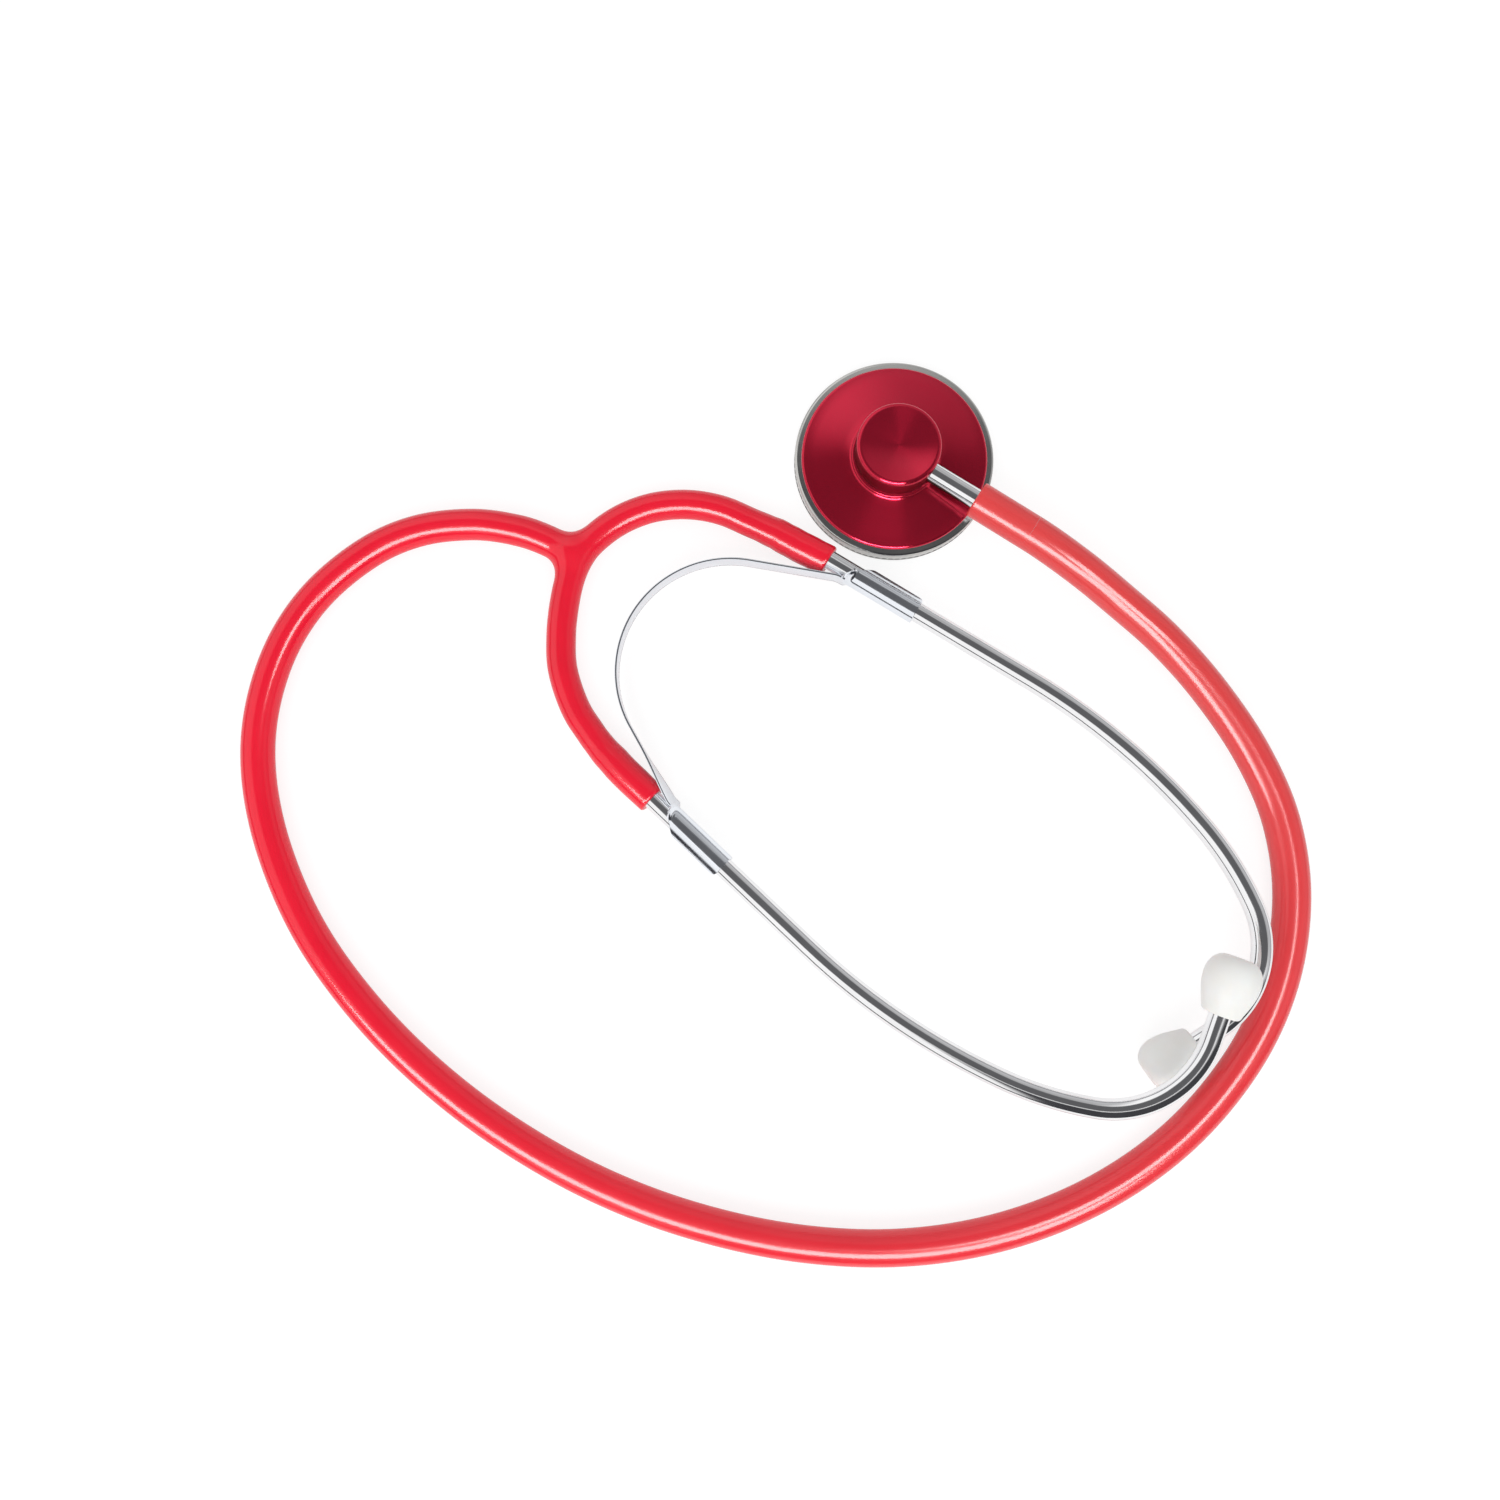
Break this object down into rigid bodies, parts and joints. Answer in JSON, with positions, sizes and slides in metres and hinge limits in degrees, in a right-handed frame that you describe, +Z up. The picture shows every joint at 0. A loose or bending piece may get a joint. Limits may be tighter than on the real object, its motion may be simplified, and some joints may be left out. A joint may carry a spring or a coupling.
{
  "type": "stethoscope",
  "caption": "Stethoscope with a single-sided chestpiece on a swivelling stem, moulded Y tubing, and chromed ear tubes held by a leaf spring.",
  "frame": {"origin": "centre of the diaphragm's outer face, on the table that the stethoscope lies on", "axes": "+Z up out of the table along the chestpiece's axis, +X to the right and +Y away from the viewer as pictured"},
  "size_m": [0.2341, 0.1982, 0.0273],
  "materials": {
    "anodised_red": "turned and anodised crimson",
    "chrome": "polished chrome plate",
    "spring_steel": "bright plated spring strip",
    "tubing": "smooth glossy red dip-moulded tubing",
    "diaphragm": "satin ivory sheet",
    "ear_tip": "satin milky white"
  },
  "bodies": {
    "tubing": {"main_tube": "tubing", "tubing_end": "tubing", "tubing_yoke": "tubing", "tubing_arm_left": "tubing", "tubing_arm_right": "tubing", "leaf_spring": "spring_steel", "spring_clip_left": "spring_steel"},
    "chestpiece": {"chestpiece_head": "anodised_red", "retaining_ring": "chrome", "diaphragm": "diaphragm", "chestpiece_stem": "chrome"},
    "left_ear_tube": {"ear_tube_left": "chrome"},
    "left_ear_tip": {"ear_tip_left": "ear_tip"},
    "right_clip": {"spring_clip_right": "spring_steel"},
    "right_ear_tube": {"ear_tube_right": "chrome"},
    "right_ear_tip": {"ear_tip_right": "ear_tip"}
  },
  "joints": [
    {"name": "binaural_spread", "type": "hinge", "parent": "tubing", "child": "right_clip", "pos_m": [-0.0585, -0.057, 0.0048], "axis": [0, 0, -1], "range_deg": [0, 70], "stiffness_Nm_per_rad": 0.6, "deforming": ["leaf_spring", "tubing_arm_right"]},
    {"name": "left_ear_tube_turn", "type": "hinge", "parent": "tubing", "child": "left_ear_tube", "pos_m": [-0.00238, -0.03109, 0.0054], "axis": [0.8449, -0.532, 0.0558], "range_deg": [0, 25]},
    {"name": "right_ear_tube_turn", "type": "hinge", "parent": "right_clip", "child": "right_ear_tube", "pos_m": [-0.0471, -0.083, 0.0054], "axis": [0.7243, -0.685, 0.0785], "range_deg": [0, 25]},
    {"name": "left_ear_tip_turn", "type": "hinge", "parent": "left_ear_tube", "child": "left_ear_tip", "pos_m": [0.06251, -0.12876, 0.00717], "axis": [-0.8248, -0.5561, -0.1022], "continuous": true},
    {"name": "right_ear_tip_turn", "type": "hinge", "parent": "right_ear_tube", "child": "right_ear_tip", "pos_m": [0.06277, -0.12114, 0.02048], "axis": [0.3197, 0.9428, 0.0948], "continuous": true},
    {"name": "chestpiece_swivel", "type": "hinge", "parent": "tubing", "child": "chestpiece", "pos_m": [0, 0, 0.0096], "axis": [0.8434, -0.5373, 0], "range_deg": [-90, 90]}
  ]
}
